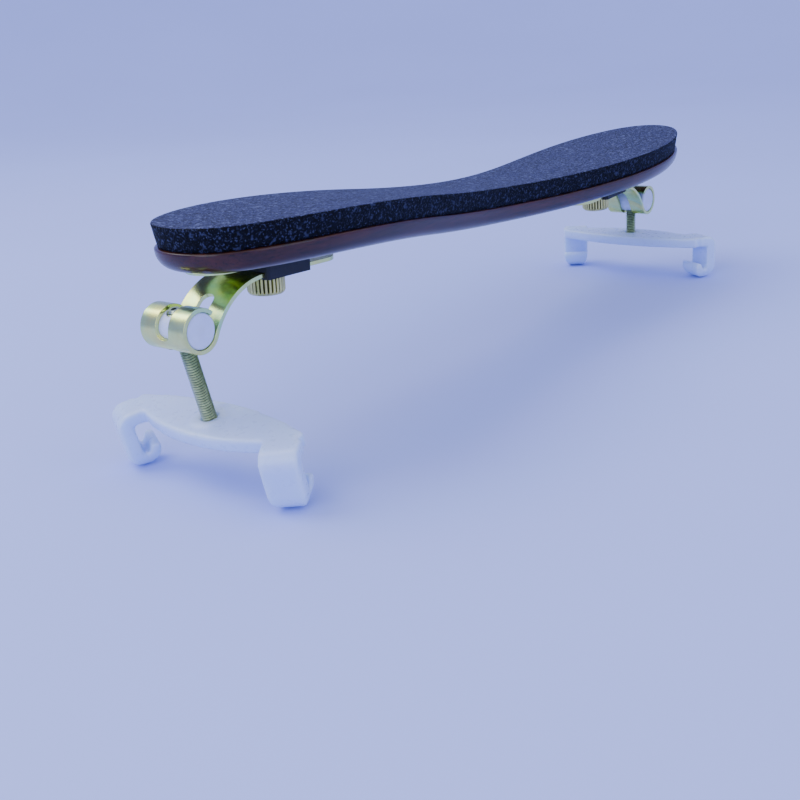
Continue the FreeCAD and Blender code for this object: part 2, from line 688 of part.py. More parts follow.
def make_arm(end):
    """Steel strip: a flat tongue, an arch down and outwards, and a rolled barrel."""
    body = new_body(end.label("arm"))
    side = new_sketch(body, end.label("arm_side"), "XZ_Plane")
    centre, bend, meet = arm_bend()
    half = size("arm_thickness") / 2
    roll = (size("barrel_x"), -size("barrel_drop"))
    inner = size("barrel_radius") - half
    outer = size("barrel_radius") + half
    end_angle = size("roll_end") + 360
    tongue = -size("arm_tongue")
    high = -size("arm_level") + half
    low = -size("arm_level") - half
    outline = Outline(side)
    top = outline.line((tongue, high), (centre[0], high))
    arch = outline.arc(centre, bend + half, 90, meet)
    bore = outline.arc(roll, inner, meet + 180, end_angle)
    outline.line(polar(roll, inner, end_angle), polar(roll, outer, end_angle))
    rim = outline.arc(roll, outer, end_angle, meet + 180)
    under = outline.arc(centre, bend - half, meet, 90)
    bottom = outline.line((centre[0], low), (tongue, low))
    tip = outline.line((tongue, low), (tongue, high))
    outline.close()
    for level in (top, bottom):
        side.addConstraint(Sketcher.Constraint("Horizontal", level))
    side.addConstraint(Sketcher.Constraint("Vertical", tip))
    side.addConstraint(Sketcher.Constraint("Coincident", arch, 3, under, 3))
    side.addConstraint(Sketcher.Constraint("Coincident", bore, 3, rim, 3))
    locate(side, tip, 2, (tongue, high), ("-arm_tongue", "-arm_level + arm_thickness / 2"))
    locate(side, tip, 1, (tongue, low), (None, "-arm_level - arm_thickness / 2"))
    locate(side, top, 2, (centre[0], high), ("arm_straight", None))
    locate(side, bore, 3, roll, ("barrel_x", "-barrel_drop"))
    radius_of(side, bore, inner, "barrel_radius - arm_thickness / 2")
    strip = pad(body, side, end.label("arm_strip"), "arm_width", symmetric=True)

    corners = edges_where(strip.Shape, lambda edge, middle: abs(middle.x - tongue) < 0.1
                          and edge.Length < 1)
    dress(body, "Fillet", end.label("arm_tip"), strip, corners, "Radius", "arm_width / tip_share")

    slot = new_sketch(body, end.label("screw_slot_sketch"))
    radius = size("screw_slot") / 2
    outline = Outline(slot)
    outline.arc((0, 0), radius, -90, 90)
    upper = outline.line((0, radius), (-size("arm_travel"), radius))
    far = outline.arc((-size("arm_travel"), 0), radius, 90, 270)
    outline.line((-size("arm_travel"), -radius), (0, -radius))
    outline.close()
    locate(slot, far, 3, (-size("arm_travel"), 0), ("-arm_travel", None))
    slot.addConstraint(Sketcher.Constraint("Horizontal", upper))
    pocket(body, slot, end.label("screw_slot_cut"), "2 * arm_level", turned=False)

    margin = size("arm_thickness")
    inner_slot = new_sketch(body, end.label("inner_slot_sketch"), "XZ_Plane")
    outline = Outline(inner_slot)
    outline.line(polar(centre, bend - margin, size("arch_slot")),
                 polar(centre, bend + margin, size("arch_slot")))
    outline.arc(centre, bend + margin, size("arch_slot"), meet)
    outline.arc(roll, size("barrel_radius") - margin, meet + 180, size("under_slot"))
    outline.line(polar(roll, size("barrel_radius") - margin, size("under_slot")),
                 polar(roll, size("barrel_radius") + margin, size("under_slot")))
    outline.arc(roll, size("barrel_radius") + margin, size("under_slot"), meet + 180)
    outline.arc(centre, bend - margin, meet, size("arch_slot"))
    outline.close()
    cut = pocket(body, inner_slot, end.label("inner_slot"), "post_slot", symmetric=True)
    outer_slot = new_sketch(body, end.label("outer_slot_sketch"), "XZ_Plane")
    outline = Outline(outer_slot)
    beyond = end_angle + 8
    outline.arc(roll, size("barrel_radius") - margin, size("outer_slot") + 360, beyond)
    outline.line(polar(roll, size("barrel_radius") - margin, beyond),
                 polar(roll, size("barrel_radius") + margin, beyond))
    outline.arc(roll, size("barrel_radius") + margin, beyond, size("outer_slot") + 360)
    outline.line(polar(roll, size("barrel_radius") + margin, size("outer_slot")),
                 polar(roll, size("barrel_radius") - margin, size("outer_slot")))
    outline.close()
    cut = pocket(body, outer_slot, end.label("outer_slot_cut"), "post_slot", symmetric=True)
    slot_half = size("post_slot") / 2
    corners = edges_where(cut.Shape, lambda edge, middle: edge.Length < 1.2
                          and abs(abs(middle.y) - slot_half) < 0.01 and middle.x > 10
                          and (middle - Vector(*polar_xz(roll, size("barrel_radius"),
                                                         end_angle))).Length > 4)
    dress(body, "Fillet", end.label("slot_ends"), cut, corners, "Radius", "post_slot / slot_share")
    body.Placement = end.frame
    return body


def polar_xz(centre, radius, angle):
    """A point on a circle in the XZ plane, as three coordinates."""
    place = polar(centre, radius, angle)
    return (place[0], 0, place[1])


def make_thumb_washer(end):
    """Plain washer between the thumb screw and the arm."""
    body = new_body(end.label("thumb_washer"))
    level = size("arm_level") + size("arm_thickness") / 2 + size("washer_play")
    plan = new_sketch(body, end.label("washer_plan"), offset=Placement(
        Vector(0, 0, -level), Rotation()))
    circle_in(plan, (0, 0), size("washer_radius"), (None, None), "washer_radius")
    circle_in(plan, (0, 0), size("shank_radius") + size("thread_play"), (None, None),
              "shank_radius + thread_play")
    pad(body, plan, end.label("washer_ring"), "washer_thickness", down=True)
    body.Placement = end.frame
    return body


def make_thumb_screw(end):
    """Thumb screw: a threaded shank on a broad round head."""
    body = new_body(end.label("thumb_screw"))
    side = new_sketch(body, end.label("thumb_screw_side"), "XZ_Plane")
    seat = -(size("arm_level") + size("arm_thickness") / 2 + size("washer_play")
             + size("washer_thickness"))
    foot = seat - size("head_height")
    bevel = size("head_bevel")
    shank = size("shank_radius")
    head = size("head_radius")
    reach = size("shank_reach")
    corners = [(0, reach), (shank - bevel, reach), (shank, reach - bevel), (shank, seat),
               (head, seat), (head, foot + bevel), (head - bevel, foot), (0, foot)]
    outline = Outline(side)
    lines = [outline.line(corners[k], corners[(k + 1) % len(corners)])
             for k in range(len(corners))]
    outline.close()
    seat_text = "-(arm_level + arm_thickness / 2 + washer_play + washer_thickness)"
    locate(side, lines[0], 1, (0, reach), (None, "shank_reach"))
    locate(side, lines[2], 2, (shank, seat), ("shank_radius", seat_text))
    locate(side, lines[4], 2, (head, foot + bevel),
           ("head_radius", seat_text + " - head_height + head_bevel"))
    turned(body, side, end.label("thumb_screw_turned"))
    body.Placement = end.frame
    return body


def turned(body, sketch, name):
    """Revolve a sketch about the body's own Z axis."""
    feature = body.newObject("PartDesign::Revolution", name)
    feature.Profile = sketch
    axis = [item for item in body.Origin.OriginFeatures if item.Role == "Z_Axis"][0]
    feature.ReferenceAxis = (axis, [""])
    feature.Angle = 360
    doc.recompute()
    return feature


# ---------------------------------------------------------------- insert, post and foot

def make_barrel_insert(end):
    """White nylon roller in the arm's barrel, with the post's hole across it."""
    body = new_body(end.label("barrel_insert"))
    side = new_sketch(body, end.label("insert_side"), "XZ_Plane")
    circle_in(side, (0, 0), size("insert_radius"), (None, None), "insert_radius")
    roller = pad(body, side, end.label("insert_roller"), "insert_length", symmetric=True)
    rims = edges_where(roller.Shape, lambda edge, middle: len(edge.Vertexes) == 1)
    bevelled = dress(body, "Chamfer", end.label("insert_rims"), roller, rims,
                     "Size", "insert_bevel")
    for side_sign in (1, -1):
        mark = new_sketch(body, end.label("dimple_sketch_%s" % ("left" if side_sign > 0
                          else "right")), "XZ_Plane", Placement(
            Vector(0, 0, -side_sign * (size("insert_length") / 2 - size("dimple_depth"))),
            Rotation()))
        circle_in(mark, (0, 0), size("dimple_radius"), (None, None), "dimple_radius")
        pocket(body, mark, end.label("dimple_%s" % ("left" if side_sign > 0 else "right")),
               "2 * dimple_depth", turned=side_sign > 0)
    hole = new_sketch(body, end.label("insert_hole_sketch"))
    circle_in(hole, (0, 0), size("post_radius") + size("thread_play"), (None, None),
              "post_radius + thread_play")
    pocket(body, hole, end.label("insert_hole"), symmetric=True)
    body.Placement = end.post_frame
    return body


def make_post(end):
    """Threaded post with a flat head under the foot."""
    body = new_body(end.label("post"))
    side = new_sketch(body, end.label("post_side"), "XZ_Plane")
    rise = size("post_rise")
    radius = size("post_radius")
    bevel = size("post_bevel")
    bottom = -end.drop + 0.1
    head_top = bottom + size("post_head_height")
    head = size("post_head_radius")
    corners = [(0, rise), (radius - bevel, rise), (radius, rise - bevel), (radius, head_top),
               (head, head_top), (head, bottom), (0, bottom)]
    outline = Outline(side)
    lines = [outline.line(corners[k], corners[(k + 1) % len(corners)])
             for k in range(len(corners))]
    outline.close()
    drop_text = "-%s_drop + 0.1" % end.name
    locate(side, lines[0], 1, (0, rise), (None, "post_rise"))
    locate(side, lines[2], 2, (radius, head_top),
           ("post_radius", drop_text + " + post_head_height"))
    locate(side, lines[4], 2, (head, bottom), ("post_head_radius", drop_text))
    turned(body, side, end.label("post_turned"))
    body.Placement = end.post_frame
    return body


def make_foot(end):
    """Moulded foot: a leaf-shaped bar with a claw at each end."""
    body = new_body(end.label("foot"))
    plan = new_sketch(body, end.label("foot_plan"))
    long = size("foot_half_length")
    outline = Outline(plan)
    for edge, edge_end, side in (("foot_outer", "foot_end_outer", 1),
                                 ("foot_inner", "foot_end_inner", -1)):
        bow_out = size(edge) - size(edge_end)
        bow = (long ** 2 + bow_out ** 2) / (2 * bow_out)
        sweep = math.degrees(math.asin(long / bow))
        facing = 0 if side > 0 else 180
        centre = (side * (size(edge) - bow), 0)
        outline.arc(centre, bow, facing - sweep, facing + sweep)
        other = size("foot_end_inner") if side > 0 else size("foot_end_outer")
        outline.line((side * size(edge_end), side * long), (-side * other, side * long))
    outline.close()
    bar = pad(body, plan, end.label("foot_bar"), "foot_thickness")

    turn = Rotation(Y_AXIS, size("claw_splay"))
    place = Vector(size("claw_x"), 0, -size("claw_y"))
    claw = new_sketch(body, end.label("claw_side"), "XZ_Plane", Placement(place, turn))
    wall = size("claw_wall")
    reach = size("claw_reach")
    shoulder = size("claw_shoulder")
    thick = size("foot_thickness")
    tip = size("claw_tip")
    belly = reach / 2
    spring = size("claw_depth") - belly
    mouth = size("claw_lip") + tip
    groove = (reach - 2 * tip - wall) / 2
    root = belly + size("claw_tip") * 2
    outline = Outline(claw)
    outline.arc((-shoulder, thick - shoulder), shoulder, 90, 0)
    outline.line((0, thick - shoulder), (0, -spring))
    outline.arc((-belly, -spring), belly, 0, -180)
    outline.line((-reach, -spring), (-reach, -mouth))
    outline.arc((tip - reach, -mouth), tip, 180, 0)
    outline.arc((-wall - groove, -mouth), groove, -180, 0)
    outline.line((-wall, -mouth), (-wall, 0))
    outline.line((-wall, 0), (-root, 0))
    outline.line((-root, 0), (-root, thick))
    outline.line((-root, thick), (-shoulder, thick))
    outline.close()
    hook = pad(body, claw, end.label("claw"), "claw_width", symmetric=True)
    both = body.newObject("PartDesign::Mirrored", end.label("claws"))
    both.Originals = [hook]
    middle = [item for item in body.Origin.OriginFeatures if item.Role == "XZ_Plane"][0]
    both.MirrorPlane = (middle, [""])
    body.Tip = both
    doc.recompute()

    ring = new_sketch(body, end.label("foot_boss_sketch"), offset=Placement(
        Vector(0, 0, thick / 2), Rotation()))
    circle_in(ring, (0, 0), size("foot_boss_radius"), (None, None), "foot_boss_radius")
    pad(body, ring, end.label("foot_boss"), "foot_thickness / 2 + foot_boss_height")
    hole = new_sketch(body, end.label("foot_hole_sketch"))
    circle_in(hole, (0, 0), size("post_radius") + size("thread_play"), (None, None),
              "post_radius + thread_play")
    pocket(body, hole, end.label("foot_hole"), symmetric=True)
    recess = new_sketch(body, end.label("foot_recess_sketch"))
    circle_in(recess, (0, 0), size("post_head_radius") + size("thread_play"), (None, None),
              "post_head_radius + thread_play")
    pocket(body, recess, end.label("foot_recess"),
           "post_head_height + 0.1 + thread_play", turned=True)
    body.Placement = end.foot_frame
    return body


# ---------------------------------------------------------------- assembly and output

def assemble():
    """Build every piece and return them in the order of the rest."""
    ends = [End("chest", -1), End("shoulder", 1)]
    pieces = [make_plate(ends), make_pad()]
    for end in ends:
        for make in (make_base_plate, make_slide_block, make_wood_screws, make_clamp_nut,
                     make_arm, make_thumb_washer, make_thumb_screw,
                     make_barrel_insert, make_post, make_foot):
            pieces.append(make(end))
    doc.recompute()
    return ends, pieces


def check(pieces):
    """Stop if any object of the document failed or any piece is not a valid solid."""
    for item in doc.Objects:
        if {"Invalid", "Error"} & set(item.State):
            raise RuntimeError("%s is %s" % (item.Label, item.State))
    for piece in pieces:
        shape = piece.Shape
        if shape.isNull() or not shape.isValid() or not shape.Solids:
            raise RuntimeError("%s has no valid solid" % piece.Label)


prism = plan_prism()
ENDS, PIECES = assemble()
check(PIECES)
os.makedirs("parts", exist_ok=True)
for node in PIECES:
    node.Shape.exportStep(os.path.join("parts", node.Label + ".step"))
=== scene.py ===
"""Looks of the violin shoulder rest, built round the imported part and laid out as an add-on.

Every piece is in metres, in the part's own frame: +X from the chest end to the shoulder
end, +Y across the plate, +Z up.  Sizes in the tables below are in millimetres.
"""
import json
import math

import bmesh
import bpy
from bpy.props import FloatProperty, FloatVectorProperty, IntProperty, PointerProperty
from mathutils import Matrix, Vector


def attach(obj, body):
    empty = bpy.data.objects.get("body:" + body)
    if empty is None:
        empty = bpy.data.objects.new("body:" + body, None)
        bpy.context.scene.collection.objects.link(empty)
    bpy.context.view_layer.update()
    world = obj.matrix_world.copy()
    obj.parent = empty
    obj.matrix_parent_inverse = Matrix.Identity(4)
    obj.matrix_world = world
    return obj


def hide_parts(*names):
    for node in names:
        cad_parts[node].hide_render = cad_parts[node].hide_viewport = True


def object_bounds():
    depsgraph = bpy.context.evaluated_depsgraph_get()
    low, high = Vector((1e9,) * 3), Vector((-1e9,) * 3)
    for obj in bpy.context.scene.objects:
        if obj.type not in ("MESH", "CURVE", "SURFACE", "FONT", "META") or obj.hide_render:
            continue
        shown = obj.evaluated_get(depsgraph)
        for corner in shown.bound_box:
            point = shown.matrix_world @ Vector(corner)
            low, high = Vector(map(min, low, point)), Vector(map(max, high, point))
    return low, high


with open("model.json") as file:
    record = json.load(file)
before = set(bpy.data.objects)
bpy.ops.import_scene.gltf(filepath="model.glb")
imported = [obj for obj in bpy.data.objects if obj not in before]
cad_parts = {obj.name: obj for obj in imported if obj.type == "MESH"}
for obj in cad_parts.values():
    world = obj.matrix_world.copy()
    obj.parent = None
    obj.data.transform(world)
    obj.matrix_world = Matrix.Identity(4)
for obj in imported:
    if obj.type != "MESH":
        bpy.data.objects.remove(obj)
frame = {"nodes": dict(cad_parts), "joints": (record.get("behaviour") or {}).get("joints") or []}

bl_info = {
    "name": "Violin Shoulder Rest",
    "version": (1, 0, 0),
    "blender": (4, 5, 0),
    "location": "View3D > Sidebar > Shoulder Rest",
    "description": "Builds the looks of a padded wooden violin shoulder rest",
    "category": "Add Mesh",
}

MM = 0.001
ENDS = ("chest", "shoulder")

# Half outline of the plate as the control points of one cubic B-spline.
OUTLINE = ((-109.3, 0.0), (-109.3, 8.5), (-99.1, 16.5), (-75.1, 19.5), (-43.1, 16.5),
           (-3.1, 11.0), (32.9, 15.5), (64.9, 20.5), (95.9, 19.5), (115.4, 9.0), (115.4, 0.0))
CREST = (-110.1, 57.82)
CREST_RADIUS = 500.0
TROUGH = (39.9, 46.42)
SHOULDER_RADIUS = 900.0
FOAM_DEPTH = 5.3
WOOD_DEPTH = 10.2
SPINE_END = 12.0
SEAM = 0.01
HULL_WIDTH = 4.0
HULL_START = 0.75
HULL_STEPS = 12

# Thumb screws, measured along their axis from the arm's frame.
HEAD_LOW = -9.08
HEAD_HEIGHT = 5.0
SHANK_TOP = 3.4
SHANK_RADIUS = 1.95
SHANK_PITCH = 0.7
SHANK_THREAD = 0.3
FLUTE_DEPTH = 0.38

# Posts, measured along their axis from under the foot.
POST_RADIUS = 1.75
POST_THREAD = 0.40
POST_HEAD_RADIUS = 3.2
POST_HEAD_TOP = 1.3
POST_RISE = 4.4
THREAD_STEPS = 8
THREAD_RUN_OUT = 0.5

# Claws: where they start from the post, and where their ends begin to narrow.
CLAW_SPLAY = math.radians(28)
CLAW_ROOT = (7.0, 26.0)
CLAW_TOP = -3.5
CLAW_INSIDE = 12
LOBE_TOP = 6.0
LOBE_HEIGHT = 6.1
LOBE_TIP = 0.12

# The floor's rise, in metres from its middle.
FLOOR_RINGS = (0.1, 0.4, 0.7, 0.9, 1.0, 1.1, 1.2, 1.3, 1.4, 1.5, 1.6, 1.8, 2.1, 2.5)
FLOOR_FLAT = 0.8
FLOOR_RISE = 0.55
FLOOR_GAP = 0.0002
CAD_BOX = [list(corner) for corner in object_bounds()]


# ---------------------------------------------------------------- mesh helpers

def joint(name):
    """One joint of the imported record."""
    return next(item for item in frame["joints"] if item["name"] == name)


def end_frame(end, joint_name):
    """The frame at a joint's point: +Z along the joint's axis and +Y across the plate."""
    found = joint("%s_%s" % (end, joint_name))
    along = Vector(found["axis"]).normalized()
    across = Vector((0, 1, 0))
    outward = across.cross(along)
    place = Matrix.Translation(Vector(found["pos_m"]))
    return place @ Matrix((outward, across, along)).transposed().to_4x4()


def show(name, bm, body, materials, smooth_angle=40):
    """Turn a bmesh into a piece that rides on a body of the part."""
    bmesh.ops.recalc_face_normals(bm, faces=bm.faces)
    mesh = bpy.data.meshes.new(name)
    bm.to_mesh(mesh)
    bm.free()
    if not mesh.polygons:
        raise RuntimeError("%s has no faces" % name)
    for material in materials:
        mesh.materials.append(material)
    mesh.shade_smooth()
    mesh.set_sharp_from_angle(angle=math.radians(smooth_angle))
    piece = bpy.data.objects.new(name, mesh)
    bpy.context.scene.collection.objects.link(piece)
    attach(piece, body)
    return piece


def paint(node, material):
    """Give a node of the part its material."""
    mesh = frame["nodes"][node].data
    mesh.materials.clear()
    mesh.materials.append(material)


def add_rings(bm, rings, shade=None):
    """Join closed rings of points, all of one length, with quads."""
    rows = [[bm.verts.new(point) for point in ring] for ring in rings]
    count = len(rows[0])
    for number, (low, high) in enumerate(zip(rows, rows[1:])):
        for k in range(count):
            n = (k + 1) % count
            face = bm.faces.new((low[k], low[n], high[n], high[k]))
            if shade:
                face.material_index = shade(number, 2 * math.pi * (k + 0.5) / count)
    return rows


def cap(bm, ring, point):
    """Close a ring with a fan to one point."""
    centre = bm.verts.new(point)
    for k, vert in enumerate(ring):
        bm.faces.new((vert, ring[(k + 1) % len(ring)], centre))


# ---------------------------------------------------------------- plate geometry

def surface_level(along, depth):
    """Height of the bent plate a depth under the foam's top, in mm."""
    crest_z = CREST[1] - CREST_RADIUS
    run = TROUGH[0] - CREST[0]
    lift = TROUGH[1] - crest_z
    middle = (run ** 2 + lift ** 2 - CREST_RADIUS ** 2) / (2 * (CREST_RADIUS - lift))
    meet = CREST[0] + run * CREST_RADIUS / (CREST_RADIUS + middle)
    if along < meet:
        return crest_z + math.sqrt((CREST_RADIUS - depth) ** 2 - (along - CREST[0]) ** 2)
    bend = middle if along < TROUGH[0] else SHOULDER_RADIUS
    return TROUGH[1] + bend - math.sqrt((bend + depth) ** 2 - (along - TROUGH[0]) ** 2)


def spline_point(poles, step):
    """Point of a clamped uniform cubic B-spline, by repeated interpolation."""
    spans = len(poles) - 3
    knots = [0] * 4 + list(range(1, spans)) + [spans] * 4
    span = min(int(step), spans - 1) + 3
    work = [Vector(poles[span - 3 + k]) for k in range(4)]
    for level in range(1, 4):
        for k in range(3, level - 1, -1):
            low = knots[span - 3 + k]
            high = knots[span + 1 + k - level]
            share = (step - low) / (high - low)
            work[k] = work[k - 1].lerp(work[k], share)
    return work[3]


def plan_loop(samples=180):
    """The plate's outline as points and inward normals, all the way round."""
    spans = len(OUTLINE) - 3
    half = [spline_point(OUTLINE, spans * k / samples) for k in range(samples + 1)]
    loop = half + [Vector((p.x, -p.y)) for p in reversed(half[1:-1])]
    normals = []
    for k in range(len(loop)):
        run = loop[(k + 1) % len(loop)] - loop[k - 1]
        normals.append(Vector((run.y, -run.x)).normalized())
    return loop, normals


def plate_shell(bm, profile, core):
    """A shell over the plate's outline.

    The profile is a row of (inset, depth, material) round the edge; the core gives the
    shares of the way from the edge to the plate's spine.
    """
    loop, normals = plan_loop()
    low = loop[0].x + SPINE_END
    high = max(point.x for point in loop) - SPINE_END
    rings = []
    for share in reversed(core):
        rings.append((profile[0][0], profile[0][1], share, profile[0][2]))
    rings += [(inset, depth, 0.0, kind) for inset, depth, kind in profile]
    for share in core:
        rings.append((profile[-1][0], profile[-1][1], share, profile[-1][2]))
    before = None
    for inset, depth, share, kind in rings:
        row = []
        for point, normal in zip(loop, normals):
            edge = point + normal * inset
            spine = Vector((min(max(edge.x, low), high), 0))
            place = edge.lerp(spine, share)
            level = surface_level(place.x, depth)
            row.append(bm.verts.new(Vector((place.x, place.y, level)) * MM))
        if before:
            for k in range(len(row)):
                n = (k + 1) % len(row)
                bm.faces.new((before[k], before[n], row[n], row[k])).material_index = kind
        before = row
    bmesh.ops.remove_doubles(bm, verts=bm.verts, dist=SEAM * MM)


# ---------------------------------------------------------------- material helper

class Look:
    """Builds one procedural material."""

    def __init__(self, name, **values):
        self.material = bpy.data.materials.new(name)
        self.material.use_nodes = True
        self.tree = self.material.node_tree
        self.tree.nodes.clear()
        self.out = self.add("OutputMaterial")
        self.shader = self.add("BsdfPrincipled")
        self.link(self.shader.outputs["BSDF"], self.out.inputs["Surface"])
        self.place = self.add("TexCoord").outputs["Object"]
        for socket, value in values.items():
            self.shader.inputs[socket.replace("_", " ")].default_value = value

    def add(self, kind, **values):
        node = self.tree.nodes.new("ShaderNode" + kind)
        for key, value in values.items():
            if hasattr(node, key):
                setattr(node, key, value)
            else:
                node.inputs[key.replace("_", " ")].default_value = value
        return node

    def link(self, start, end):
        self.tree.links.new(start, end)

    def stretch(self, scale):
        """The texture place, scaled along each axis."""
        node = self.add("Mapping")
        node.inputs["Scale"].default_value = scale
        self.link(self.place, node.inputs["Vector"])
        return node.outputs["Vector"]

    def noise(self, scale, detail=4.0, rough=0.5, distort=0.0, place=None):
        """Cloudy greys; the scale counts features in a metre."""
        node = self.add("TexNoise", Scale=scale, Detail=detail, Roughness=rough,
                        Distortion=distort)
        self.link(place or self.place, node.inputs["Vector"])
        return node.outputs["Fac"]

    def ramp(self, value, *stops):
        """Colours or greys at places along a value."""
        node = self.add("ValToRGB")
        ramp = node.color_ramp
        while len(ramp.elements) < len(stops):
            ramp.elements.new(0.5)
        for element, (place, colour) in zip(ramp.elements, stops):
            element.position = place
            grey = isinstance(colour, (int, float))
            element.color = (colour, colour, colour, 1) if grey else (*colour, 1)
        self.link(value, node.inputs["Fac"])
        return node.outputs["Color"]

    def mix(self, share, first, second, how="MIX"):
        node = self.add("MixRGB")
        node.blend_type = how
        for socket, value in ((node.inputs["Fac"], share), (node.inputs["Color1"], first),
                              (node.inputs["Color2"], second)):
            if hasattr(value, "links"):
                self.link(value, socket)
            elif isinstance(value, (int, float)):
                socket.default_value = value
            else:
                socket.default_value = (*value, 1)
        return node.outputs["Color"]

    def colour(self, value):
        self.link(value, self.shader.inputs["Base Color"])

    def rough(self, value, low, high):
        """Roughness between two values."""
        node = self.add("MapRange", To_Min=low, To_Max=high)
        self.link(value, node.inputs["Value"])
        self.link(node.outputs["Result"], self.shader.inputs["Roughness"])

    def bump(self, heights, edge=0.0):
        """Stack height textures, each with a strength and a height in metres."""
        normal = None
        if edge:
            bevel = self.add("Bevel", Radius=edge)
            bevel.samples = 6
            normal = bevel.outputs["Normal"]
        for value, strength, distance in heights:
            node = self.add("Bump", Strength=strength, Distance=distance)
            self.link(value, node.inputs["Height"])
            if normal:
                self.link(normal, node.inputs["Normal"])
            normal = node.outputs["Normal"]
        self.link(normal, self.shader.inputs["Normal"])


# ---------------------------------------------------------------- materials

def foam_grain(look, tone, glint_speck, contrast, height):
    """Fine closed-cell grain: pits darkened with painted shade where the bump sinks, and pale
    specks of several sizes painted as glints.
    """
    coarse = look.noise(1050, 2, 0.6)
    fine = look.noise(2100, 2, 0.5)
    # painted shade and light: darker where the coarse bump sinks, lighter where it rises
    relief_shade = look.ramp(coarse, (0.34, 1 - contrast), (0.62, 1 + 0.5 * contrast))
    base = look.mix(1.0, tone, relief_shade, "MULTIPLY")
    # pale specks where the fine bump rises, and larger ones: painted glints
    pick = look.ramp(fine, (0.56, 0.0), (0.70, 1.0))
    large = look.ramp(look.noise(800, 1), (0.60, 0.0), (0.72, 0.8))
    share = look.mix(1.0, pick, large, "LIGHTEN")
    look.colour(look.mix(share, base, glint_speck))
    look.bump([(coarse, 0.6, height), (fine, 0.35, height * 0.5)])


def foam_skin_lit_top(looks):
    """Closed-cell foam seen from above: blue-grey, lighter partly from its skin and partly from
    painted light, with a fine pale speckle of painted glints.
    """
    look = Look("foam_skin_lit_top", Roughness=0.75, Specular_IOR_Level=0.18)
    cloud = look.ramp(look.noise(60, 3), (0.30, 0.86), (0.70, 1.10))
    tone = look.mix(1.0, looks.top, cloud, "MULTIPLY")
    foam_grain(look, tone, looks.glint_speck, 0.55, 0.00022)
    return look.material


def foam_cut_shaded_side(looks):
    """The foam's cut sides: near black, partly the cut foam's own colour and partly painted shade,
    with dimmed pale specks painted as glints off the open cells.
    """
    look = Look("foam_cut_shaded_side", Roughness=0.7, Specular_IOR_Level=0.12)
    # painted shade: the sides take the near-black colour and the specks dimmed to a third
    foam_grain(look, looks.side, [c * 0.32 for c in looks.glint_speck], 0.7, 0.0003)
    return look.material


def lacquered_maple(looks):
    """Red-brown stained maple under a thick clear lacquer."""
    look = Look("lacquered_maple", Coat_Weight=0.5, Coat_Roughness=0.04, Coat_IOR=1.42,
                Specular_IOR_Level=0.25)
    along = look.stretch((14, 260, 420))
    grain = look.noise(1.0, 6, 0.62, 0.6, along)
    base = look.ramp(grain, (0.28, [c * 0.35 for c in looks.wood]),
                     (0.55, looks.wood), (0.80, [c * 1.5 for c in looks.wood]))
    pores = look.ramp(look.noise(1.0, 2, 0.5, 0.0, look.stretch((90, 1800, 1800))),
                      (0.30, 0.45), (0.46, 1.0))
    flame = look.ramp(look.noise(1.0, 2, 0.4, 1.2, look.stretch((110, 22, 22))),
                      (0.35, 0.82), (0.65, 1.15))
    base = look.mix(1.0, base, pores, "MULTIPLY")
    look.colour(look.mix(1.0, base, flame, "MULTIPLY"))
    look.rough(grain, 0.28, 0.42)
    look.bump([(look.noise(60, 2), 0.05, 0.0003)])
    return look.material


def zinc_plating(looks):
    """Pale yellow zinc on pressed steel, with faint rainbow passivation."""
    look = Look("zinc_plating", Metallic=1.0)
    tone = look.noise(110, 3, 0.55, 0.8)
    tint = look.ramp(tone, (0.25, looks.zinc_cool), (0.50, looks.zinc), (0.75, looks.zinc_warm))
    stain = look.ramp(look.noise(420, 4, 0.6), (0.32, 0.88), (0.60, 1.0))
    look.colour(look.mix(1.0, tint, stain, "MULTIPLY"))
    haze = look.noise(900, 3, 0.6)
    look.rough(haze, 0.16, 0.30)
    look.bump([(look.noise(200, 2), 0.05, 0.0001)], 0.00016)
    return look.material


def moulded_black():
    """Matte black moulded plastic with a fine spark-eroded grain."""
    look = Look("moulded_black", Roughness=0.55, Specular_IOR_Level=0.4)
    grain = look.noise(2600, 3, 0.6)
    look.colour(look.ramp(grain, (0.3, (0.006, 0.006, 0.008)), (0.8, (0.018, 0.018, 0.022))))
    look.rough(grain, 0.45, 0.65)
    look.bump([(grain, 0.25, 0.00006)], 0.00025)
    return look.material


def turned_brass(looks):
    """Knurled brass with olive tarnish."""
    look = Look("turned_brass", Metallic=1.0)
    tone = look.noise(300, 4, 0.6, 0.4)
    look.colour(look.ramp(tone, (0.28, [c * 0.55 for c in looks.brass]), (0.62, looks.brass)))
    look.rough(look.noise(900, 3), 0.22, 0.42)
    look.bump([(look.noise(1800, 2), 0.1, 0.00004)], 0.00012)
    return look.material


def plated_steel(looks):
    """Grey-green plated thread; the dark in its grooves is painted shade from the groove material.
    """
    look = Look("plated_steel", Metallic=1.0)
    tone = look.noise(700, 3, 0.6)
    look.colour(look.ramp(tone, (0.30, [c * 0.6 for c in looks.steel]), (0.65, looks.steel)))
    look.rough(look.noise(1500, 2), 0.24, 0.42)
    look.bump([(tone, 0.1, 0.00004)])
    return look.material


def groove_painted_shade(tone):
    """Painted shade in the bottoms of threads and knurling: a near-black, mottled copy of the
    metal's colour.
    """
    look = Look("groove_painted_shade", Metallic=0.6)
    mottle = look.noise(1200, 3, 0.6)
    # painted shade: the groove colour is 5 to 16 per cent of the metal's own
    look.colour(look.ramp(mottle, (0.3, [c * 0.05 for c in tone]), (0.7, [c * 0.16 for c in tone])))
    look.rough(mottle, 0.45, 0.65)
    look.bump([(mottle, 0.1, 0.00003)])
    return look.material


def white_nylon(looks):
    """Turned white nylon, faintly see-through at its edges."""
    look = Look("white_nylon", Subsurface_Weight=0.5, Subsurface_Scale=0.0012,
                Subsurface_Radius=(1.0, 0.9, 0.8), IOR=1.53)
    tone = look.noise(500, 3)
    look.colour(look.ramp(tone, (0.3, [c * 0.93 for c in looks.nylon]), (0.7, looks.nylon)))
    look.rough(look.noise(1500, 3), 0.28, 0.42)
    look.bump([(look.noise(1600, 2), 0.08, 0.00004)], 0.0002)
    return look.material


